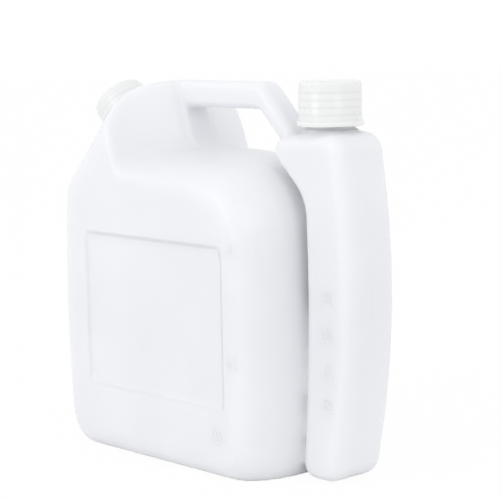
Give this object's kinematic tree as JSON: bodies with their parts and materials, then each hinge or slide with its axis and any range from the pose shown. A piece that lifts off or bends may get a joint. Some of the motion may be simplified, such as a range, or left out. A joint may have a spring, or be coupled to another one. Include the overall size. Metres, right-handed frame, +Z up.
{
  "type": "fuel mixing bottle",
  "caption": "Blow-moulded mixing bottle: deep main tank, slim graduated measuring chamber, hollow carrying handle over both, slanted filling neck and upright measuring neck, each with a screw cap and liner",
  "frame": {"origin": "the middle of the footprint of the bounding box, on the plane of the standing base", "axes": "+X to the right, from the main tank to the measuring chamber; +Y to the back, the front face looks towards -Y; +Z up"},
  "size_m": [0.2474, 0.1192, 0.2423],
  "materials": {
    "body_plastic": "satin natural polyethylene, translucent",
    "cap_plastic": "semi-gloss natural polypropylene, translucent",
    "liner_foam": "white sealing foam"
  },
  "bodies": {
    "bottle_body": {"bottle": "body_plastic"},
    "large_liner_body": {"large_cap_liner": "liner_foam"},
    "large_cap_body": {"large_cap": "cap_plastic"},
    "small_liner_body": {"small_cap_liner": "liner_foam"},
    "small_cap_body": {"small_cap": "cap_plastic"}
  },
  "joints": [
    {"name": "large_cap_lift", "type": "slide", "parent": "bottle_body", "child": "large_liner_body", "axis": [0, 0, 1], "range_m": [0, 0.053]},
    {"name": "large_cap_turn", "type": "hinge", "parent": "large_liner_body", "child": "large_cap_body", "pos_m": [0.09035, 0, 0.2154], "axis": [0, 0, 1], "range_deg": [0, 4320]},
    {"name": "small_cap_lift", "type": "slide", "parent": "bottle_body", "child": "small_liner_body", "axis": [-0.7349, 0, 0.6782], "range_m": [0, 0.053]},
    {"name": "small_cap_turn", "type": "hinge", "parent": "small_liner_body", "child": "small_cap_body", "pos_m": [-0.08822, 0, 0.20538], "axis": [-0.7349, 0, 0.6782], "range_deg": [0, 4320]}
  ],
  "couplings": [
    {"joint": "large_cap_lift", "follows": "large_cap_turn", "m_per_rad": 0.00070028},
    {"joint": "small_cap_lift", "follows": "small_cap_turn", "m_per_rad": 0.00070028}
  ]
}
